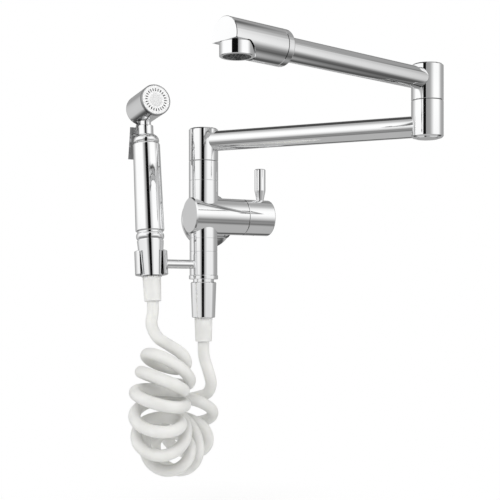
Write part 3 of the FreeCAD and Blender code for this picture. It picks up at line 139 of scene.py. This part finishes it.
def coil_point(turn):
    """A control point of the coil after a number of turns, in metres."""
    share = turn / COIL_TURNS
    around = 2 * math.pi * (turn - COIL_FIRST_TURN)
    ring_radius = COIL_CORE_RADIUS + HOSE_RADIUS + COIL_SWELL * math.sin(math.pi * share)
    sweep = math.radians(COIL_SWEEP_ANGLE)
    along = math.radians(COIL_START_ANGLE) + sweep * share * (1 - COIL_EASE_SHARE * (1 - share))
    heading = math.radians(COIL_START_HEADING + (COIL_END_HEADING - COIL_START_HEADING) * share)
    thickness = HOSE_RADIUS * 2
    inner_radius = COIL_PITCH_SHARE * thickness * COIL_TURNS / sweep
    at_inner = ((1 + math.cos(around)) / 2) ** COIL_STAGGER_POWER
    layer = COIL_STAGGER_SHARE * thickness * math.cos(around / 2) * at_inner
    out = inner_radius + ring_radius * (1 - math.cos(around)) + layer
    across = ring_radius * math.sin(around)
    level = -out * math.cos(along)
    bow = 4 * share * (1 - share)
    centre = [c + d * share + b * bow for c, d, b in zip(COIL_CENTRE, COIL_DRIFT, COIL_BOW)]
    x = level * math.cos(heading) - across * math.sin(heading)
    y = level * math.sin(heading) + across * math.cos(heading)
    down = out * math.sin(along) + COIL_SKEW * (1 - share) * (x + COIL_SKEW_MIDDLE)
    return COLUMN + Vector((centre[0] + x, centre[1] + y, centre[2] - down)) * MM


def coil_direction(turn):
    return (coil_point(turn + SMALL_TURN) - coil_point(turn - SMALL_TURN)).normalized()


def arc(start, corner, end):
    """Points of the arc from one point to another that is tangent to the lines to the corner between them."""
    weight = (end - start).length / ((corner - start).length + (corner - end).length)
    points = []
    for i in range(POINTS_PER_ARC):
        share = i / POINTS_PER_ARC
        first, middle, last = (1 - share) ** 2, 2 * weight * share * (1 - share), share ** 2
        points.append((start * first + corner * middle + end * last) / (first + middle + last))
    return points


def biarc(start, leaving, end, arriving):
    """Points of two arcs that join a point to another and keep the line's direction at both."""
    gap = end - start
    spread = 2 * (1 - leaving.dot(arriving))
    along = gap.dot(leaving + arriving)
    reach = (math.sqrt(along * along + spread * gap.dot(gap)) - along) / spread
    first = start + leaving * reach
    last = end - arriving * reach
    return arc(start, first, (first + last) / 2) + arc((first + last) / 2, last, end)


def lead_line(points):
    """A lead's straight runs, joined by tangent arcs."""
    line = [points[0]]
    for before, corner, after in zip(points, points[1:], points[2:]):
        reach = ROUNDING_SHARE * min((before - corner).length, (after - corner).length)
        line += arc(corner + (before - corner).normalized() * reach, corner,
                    corner + (after - corner).normalized() * reach)
    return line + [points[-1]]


def hose_line():
    """The hose's middle from the hand spray's sleeve to the column's, by a point each quarter turn."""
    spray = [SPRAY_FOOT + Vector(point) * MM for point in SPRAY_LEAD]
    tap = [TAP_FOOT + Vector(point) * MM for point in TAP_LEAD]
    leaving = (spray[-1] - spray[-2]).normalized()
    arriving = (tap[-2] - tap[-1]).normalized()
    straight = HOSE_RADIUS * MM
    turns = [quarter / 4 for quarter in range(1, round(COIL_TURNS * 4) + 1)]
    points = [spray[-1] + leaving * straight]
    points += [coil_point(turn) for turn in turns]
    points.append(tap[-1] - arriving * straight)
    directions = [leaving] + [coil_direction(turn) for turn in turns] + [arriving]
    line = lead_line(spray)
    for i in range(len(points) - 1):
        line += biarc(points[i], directions[i], points[i + 1], directions[i + 1])
    return line + [points[-1]] + lead_line(tap)[::-1]


def tube(name, line, radius, sides):
    """A round tube along a line, with no twist from one section to the next."""
    vertices = []
    side = Vector((1, 0, 0))
    for i, point in enumerate(line):
        ahead = (line[min(i + 1, len(line) - 1)] - line[max(i - 1, 0)]).normalized()
        side = (side - ahead * side.dot(ahead)).normalized()
        up = ahead.cross(side)
        for k in range(sides):
            angle = 2 * math.pi * k / sides
            vertices.append(point + (side * math.cos(angle) + up * math.sin(angle)) * radius)
    faces = []
    for i in range(len(line) - 1):
        for k in range(sides):
            here, there = i * sides + k, i * sides + (k + 1) % sides
            faces.append((here, there, there + sides, here + sides))
    mesh = bpy.data.meshes.new(name)
    mesh.from_pydata(vertices, [], faces)
    mesh.polygons.foreach_set("use_smooth", [True] * len(faces))
    piece = bpy.data.objects.new(name, mesh)
    bpy.context.scene.collection.objects.link(piece)
    return piece


def add_hose():
    line = hose_line()
    hose = tube("hose", line, HOSE_RADIUS * MM, HOSE_SIDES)
    hose.data.materials.append(hose_material())
    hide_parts("hose_lead_spray", "hose_coil", "hose_lead_tap")
    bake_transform(hose)


def new_material(name, colour, metallic, roughness):
    """A material with its shader, whose plain values are set on the shader itself."""
    material = bpy.data.materials.new(name)
    material.use_nodes = True
    shader = material.node_tree.nodes["Principled BSDF"]
    shader.inputs["Base Color"].default_value = (*colour, 1)
    shader.inputs["Metallic"].default_value = metallic
    shader.inputs["Roughness"].default_value = roughness
    return material, shader


def noise(material, scale, detail=2.0):
    """A noise of this many waves to the metre, over the piece's own coordinates."""
    nodes = material.node_tree.nodes
    place = nodes.new("ShaderNodeTexCoord")
    texture = nodes.new("ShaderNodeTexNoise")
    texture.inputs["Scale"].default_value = scale
    texture.inputs["Detail"].default_value = detail
    material.node_tree.links.new(place.outputs["Object"], texture.inputs["Vector"])
    return texture.outputs["Fac"]


def vary_roughness(material, shader, scale, low, high):
    spread = material.node_tree.nodes.new("ShaderNodeMapRange")
    spread.inputs["From Min"].default_value, spread.inputs["From Max"].default_value = ROUGHNESS_BAND
    spread.inputs["To Min"].default_value = low
    spread.inputs["To Max"].default_value = high
    material.node_tree.links.new(noise(material, scale, ROUGHNESS_DETAIL), spread.inputs["Value"])
    material.node_tree.links.new(spread.outputs["Result"], shader.inputs["Roughness"])


def vary_colour(material, shader, scale, first, second):
    ramp = material.node_tree.nodes.new("ShaderNodeValToRGB")
    for element, position, colour in zip(ramp.color_ramp.elements, COLOUR_BAND, (first, second)):
        element.position = position
        element.color = (*colour, 1)
    material.node_tree.links.new(noise(material, scale), ramp.inputs["Fac"])
    material.node_tree.links.new(ramp.outputs["Color"], shader.inputs["Base Color"])


def add_relief(material, shader, scale, strength, height):
    bump = material.node_tree.nodes.new("ShaderNodeBump")
    bump.inputs["Strength"].default_value = strength
    bump.inputs["Distance"].default_value = height
    material.node_tree.links.new(noise(material, scale), bump.inputs["Height"])
    material.node_tree.links.new(bump.outputs["Normal"], shader.inputs["Normal"])


def chrome_material():
    """Bright plating: clear reflections, a trace of polishing haze and of the casting's waviness."""
    material, shader = new_material("polished_chrome", (0.93, 0.932, 0.935), 1, 0.04)
    vary_roughness(material, shader, 45, 0.02, 0.05)
    vary_colour(material, shader, 20, (0.91, 0.913, 0.916), (0.95, 0.952, 0.955))
    add_relief(material, shader, 70, 0.03, 0.0003)
    return material


def painted_shade_chrome_material():
    """Chrome darkened to paint the shade of the spray's own head and grip, and duller, for the trigger and
    the ring round the spray's face.
    """
    material, shader = new_material("painted_shade_chrome", (0.36, 0.362, 0.365), 1, 0.12)
    vary_roughness(material, shader, 45, 0.1, 0.16)
    vary_colour(material, shader, 20, (0.34, 0.342, 0.345), (0.39, 0.392, 0.395))
    add_relief(material, shader, 70, 0.03, 0.0003)
    return material


def brass_material():
    material, shader = new_material("turned_brass", (0.6, 0.41, 0.16), 1, 0.3)
    vary_roughness(material, shader, 300, 0.22, 0.4)
    vary_colour(material, shader, 80, (0.56, 0.38, 0.14), (0.65, 0.45, 0.19))
    add_relief(material, shader, 1500, 0.2, 0.0001)
    return material


def ceramic_material():
    material, shader = new_material("lapped_ceramic", (0.8, 0.78, 0.72), 0, 0.25)
    vary_roughness(material, shader, 200, 0.2, 0.3)
    vary_colour(material, shader, 150, (0.78, 0.76, 0.7), (0.83, 0.81, 0.75))
    add_relief(material, shader, 2500, 0.1, 0.0001)
    return material


def rubber_material():
    material, shader = new_material("black_rubber", (0.018, 0.018, 0.018), 0, 0.6)
    vary_roughness(material, shader, 250, 0.5, 0.7)
    vary_colour(material, shader, 120, (0.014, 0.014, 0.014), (0.024, 0.024, 0.024))
    add_relief(material, shader, 2000, 0.3, 0.0001)
    return material


def dark_plastic_material():
    material, shader = new_material("dark_plastic", (0.03, 0.031, 0.031), 0, 0.4)
    vary_roughness(material, shader, 250, 0.35, 0.5)
    vary_colour(material, shader, 150, (0.026, 0.027, 0.027), (0.036, 0.037, 0.037))
    add_relief(material, shader, 2500, 0.2, 0.0001)
    return material


def hose_material():
    """Greyish white plastic that lets some light into it, with the gloss of a drawn tube."""
    material, shader = new_material("white_hose", (0.715, 0.714, 0.697), 0, 0.35)
    shader.inputs["Subsurface Weight"].default_value = 0.5
    shader.inputs["Subsurface Radius"].default_value = (1, 1, 0.9)
    shader.inputs["Subsurface Scale"].default_value = 0.006
    shader.inputs["IOR"].default_value = 1.5
    vary_roughness(material, shader, 120, 0.28, 0.4)
    vary_colour(material, shader, 60, (0.695, 0.694, 0.677), (0.745, 0.744, 0.727))
    add_relief(material, shader, 350, 0.08, 0.0003)
    return material


def spray_white_material():
    material, shader = new_material("spray_plate_white", (0.76, 0.76, 0.76), 0, 0.4)
    vary_roughness(material, shader, 300, 0.35, 0.5)
    vary_colour(material, shader, 200, (0.74, 0.74, 0.74), (0.79, 0.79, 0.79))
    add_relief(material, shader, 3000, 0.15, 0.0001)
    return material


def spray_grey_material():
    material, shader = new_material("spray_centre_satin", (0.66, 0.66, 0.66), 0.1, 0.4)
    vary_roughness(material, shader, 300, 0.3, 0.42)
    vary_colour(material, shader, 250, (0.64, 0.64, 0.64), (0.69, 0.69, 0.69))
    add_relief(material, shader, 2500, 0.15, 0.0001)
    return material


def dress_nodes(frame):
    """Gives every CAD piece the full material of the slot that the record names for it."""
    makers = {
        "chrome": chrome_material, "plain_brass": brass_material, "ceramic": ceramic_material,
        "black_rubber": rubber_material, "dark_plastic": dark_plastic_material,
        "white_hose": hose_material, "spray_white": spray_white_material, "spray_grey": spray_grey_material}
    materials = {}
    for subpart in frame["record"]["subparts"]:
        slot = subpart["material_slot"]
        if slot not in materials:
            materials[slot] = makers[slot]()
        frame["nodes"][subpart["node"]].material_slots[0].material = materials[slot]
    # Painted shade: the trigger and the face ring get a darkened chrome that stands in for the shade of the
    # spray's head and grip
    shaded = painted_shade_chrome_material()
    for node in PAINTED_SHADE_NODES:
        frame["nodes"][node].material_slots[0].material = shaded
    paint_slot_shade(frame["nodes"]["spray_plate"], materials["spray_white"])


def paint_slot_shade(plate, material):
    """Paints shade into the spray plate's slots: near black a little behind its face, for the recess behind
    the slots that lies in shade.
    """
    nodes, links = material.node_tree.nodes, material.node_tree.links
    face = max(SPRAY_FACING.dot(vertex.co) for vertex in plate.data.vertices)
    place = nodes.new("ShaderNodeTexCoord")
    ahead = nodes.new("ShaderNodeVectorMath")
    ahead.operation = "DOT_PRODUCT"
    ahead.inputs[1].default_value = SPRAY_FACING
    links.new(place.outputs["Object"], ahead.inputs[0])
    depth = nodes.new("ShaderNodeMapRange")
    depth.inputs["From Min"].default_value = face - SLOT_PAINTED_SHADE_DEPTH
    depth.inputs["From Max"].default_value = face - SLOT_PAINTED_SHADE_DEPTH / 4
    links.new(ahead.outputs["Value"], depth.inputs["Value"])
    shader = nodes["Principled BSDF"]
    colour = shader.inputs["Base Color"].links[0].from_socket
    # Painted shade: the slots' walls turn near black with depth behind the face
    links.new(mix_node(nodes, links, "MIX", depth.outputs["Result"], SLOT_PAINTED_SHADE, colour),
              shader.inputs["Base Color"])


def ramp_node(nodes, stops):
    """A colour ramp of greys, from (position, grey) pairs."""
    ramp = nodes.new("ShaderNodeValToRGB")
    elements = ramp.color_ramp.elements
    while len(elements) < len(stops):
        elements.new(0.5)
    for element, (position, grey) in zip(elements, stops):
        element.position = position
        element.color = (grey, grey, grey, 1)
    return ramp


def ramp_colour(nodes, links, value, stops):
    ramp = ramp_node(nodes, stops)
    links.new(value, ramp.inputs["Fac"])
    return ramp.outputs["Color"]


def shares(stops, circle):
    """Stops in degrees, from minus half to half of the circle, as shares of it."""
    return [(degrees / circle + 0.5, grey) for degrees, grey in stops]


def math_node(nodes, links, operation, *values):
    node = nodes.new("ShaderNodeMath")
    node.operation = operation
    for socket, value in zip(node.inputs, values):
        if isinstance(value, (int, float)):
            socket.default_value = value
        else:
            links.new(value, socket)
    return node.outputs[0]


def mix_node(nodes, links, blend, factor, first, second):
    node = nodes.new("ShaderNodeMix")
    node.data_type = "RGBA"
    node.blend_type = blend
    for name, value in (("Factor_Float", factor), ("A_Color", first), ("B_Color", second)):
        socket = next(s for s in node.inputs if s.identifier == name)
        if isinstance(value, (int, float, tuple)):
            socket.default_value = value
        else:
            links.new(value, socket)
    return next(s for s in node.outputs if s.identifier == "Result_Color")


def add_world():
    """White for the camera, a soft fill for matt pieces, and a studio of grey and white walls for gloss."""
    world = bpy.data.worlds.new("studio")
    world.use_nodes = True
    bpy.context.scene.world = world
    nodes, links = world.node_tree.nodes, world.node_tree.links
    place = nodes.new("ShaderNodeTexCoord")
    parts = nodes.new("ShaderNodeSeparateXYZ")
    links.new(place.outputs["Generated"], parts.inputs[0])
    turned = math_node(nodes, links, "ARCTAN2", parts.outputs["Y"], parts.outputs["X"])
    from_back = math_node(nodes, links, "SUBTRACT", math.radians(90) + CAMERA_HEADING, turned)
    bearing = math_node(nodes, links, "FRACT", math_node(nodes, links, "DIVIDE", from_back, -2 * math.pi))
    tilt = math_node(nodes, links, "ARCSINE", parts.outputs["Z"])
    height = math_node(nodes, links, "MULTIPLY_ADD", tilt, 1 / math.pi, 0.5)
    ceiling = ramp_colour(nodes, links, height, shares(CEILING, 180))
    around = ramp_colour(nodes, links, bearing, shares(BEARINGS, 360))
    by_bearing = mix_node(nodes, links, "MIX", ceiling, around, WHITE)
    front = ramp_colour(nodes, links, height, shares(FRONT_HEIGHTS, 180))
    back = ramp_colour(nodes, links, height, shares(BACK_HEIGHTS, 180))
    behind = ramp_colour(nodes, links, bearing, shares(BEHIND, 360))
    by_height = mix_node(nodes, links, "MIX", behind, front, back)
    patch_share = ramp_colour(nodes, links, height, shares(PATCH_HEIGHTS, 180))
    patch_grey = ramp_colour(nodes, links, bearing, shares(PATCH_BEARINGS, 360))
    patch = mix_node(nodes, links, "MIX", patch_share, WHITE, patch_grey)
    dimmer = mix_node(nodes, links, "DARKEN", 1.0, by_bearing, by_height)
    dimmest = mix_node(nodes, links, "DARKEN", 1.0, dimmer, patch)
    walls = mix_node(nodes, links, "MULTIPLY", 1.0, dimmest, (WALL_LIGHT, WALL_LIGHT, WALL_LIGHT, 1))
    rays = nodes.new("ShaderNodeLightPath")
    camera_ray, clear_ray = rays.outputs["Is Camera Ray"], rays.outputs["Is Transmission Ray"]
    seen = math_node(nodes, links, "MAXIMUM", camera_ray, clear_ray)
    lit = mix_node(nodes, links, "MIX", rays.outputs["Is Glossy Ray"], MATT_LIGHT, walls)
    colour = mix_node(nodes, links, "MIX", seen, lit, WHITE)
    background = nodes["Background"]
    links.new(colour, background.inputs["Color"])
    background.inputs["Strength"].default_value = 1


def add_lamp(name, place, target, size, power):
    lamp = bpy.data.objects.new(name, bpy.data.lights.new(name, "AREA"))
    lamp.data.size = size
    lamp.data.energy = power
    lamp.location = place
    lamp.rotation_euler = (Vector(target) - Vector(place)).to_track_quat("-Z", "Y").to_euler()
    lamp.visible_glossy = False
    bpy.context.scene.collection.objects.link(lamp)


def floor_material():
    """Pale matt floor that fades into the white background away from the object."""
    material, shader = new_material("floor", (0.92, 0.92, 0.92), 0, 0.9)
    nodes, links = material.node_tree.nodes, material.node_tree.links
    place = nodes.new("ShaderNodeTexCoord")
    distance = nodes.new("ShaderNodeVectorMath")
    distance.operation = "LENGTH"
    links.new(place.outputs["Object"], distance.inputs[0])
    fade = ramp_node(nodes, FLOOR_FADE)
    links.new(distance.outputs["Value"], fade.inputs["Fac"])
    rays = nodes.new("ShaderNodeLightPath")
    glow = nodes.new("ShaderNodeEmission")
    share = math_node(nodes, links, "MULTIPLY", rays.outputs["Is Camera Ray"], fade.outputs["Color"])
    mixed = nodes.new("ShaderNodeMixShader")
    links.new(share, mixed.inputs["Fac"])
    links.new(shader.outputs["BSDF"], mixed.inputs[1])
    links.new(glow.outputs["Emission"], mixed.inputs[2])
    links.new(mixed.outputs["Shader"], nodes["Material Output"].inputs["Surface"])
    return material


def add_sheet(name, across, up, place, material):
    """A flat rectangle of the stage, from the vectors that lead from its middle to two of its edges."""
    mesh = bpy.data.meshes.new(name)
    mesh.from_pydata([-across - up, across - up, across + up, up - across], [], [(0, 1, 2, 3)])
    mesh.materials.append(material)
    sheet = bpy.data.objects.new(name, mesh)
    sheet.location = place
    bpy.context.scene.collection.objects.link(sheet)
    return sheet


def add_card():
    """Black card in front of the tap, a little to its left, that only its gloss shows."""
    across, up = Vector((CARD_WIDTH / 2, 0, 0)), Vector((0, 0, CARD_HEIGHT / 2))
    card = add_sheet("card", across, up, CARD_PLACE, new_material("card", (0, 0, 0), 0, 1)[0])
    card.rotation_euler = (0, 0, CAMERA_HEADING)
    card.visible_camera = False
    card.visible_diffuse = False
    card.visible_shadow = False


def add_floor(level):
    across, up = Vector((FLOOR_SIZE / 2, 0, 0)), Vector((0, FLOOR_SIZE / 2, 0))
    floor = add_sheet("floor", across, up, (COLUMN.x, COLUMN.y, level), floor_material())
    floor.visible_glossy = False


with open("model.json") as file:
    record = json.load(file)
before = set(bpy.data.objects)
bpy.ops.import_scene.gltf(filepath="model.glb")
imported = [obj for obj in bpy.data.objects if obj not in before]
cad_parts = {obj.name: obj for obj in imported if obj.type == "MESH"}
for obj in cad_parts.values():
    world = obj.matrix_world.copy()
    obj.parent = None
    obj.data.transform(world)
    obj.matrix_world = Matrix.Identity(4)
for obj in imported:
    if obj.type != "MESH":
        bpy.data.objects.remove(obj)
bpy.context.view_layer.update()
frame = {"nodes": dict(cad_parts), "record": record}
add_camera()
add_hose()
dress_nodes(frame)
add_world()
for lamp in LAMPS:
    add_lamp(*lamp)
add_card()
add_floor(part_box("hose_coil")[0].z - FLOOR_DROP)
bpy.context.scene.view_settings.view_transform = "Standard"
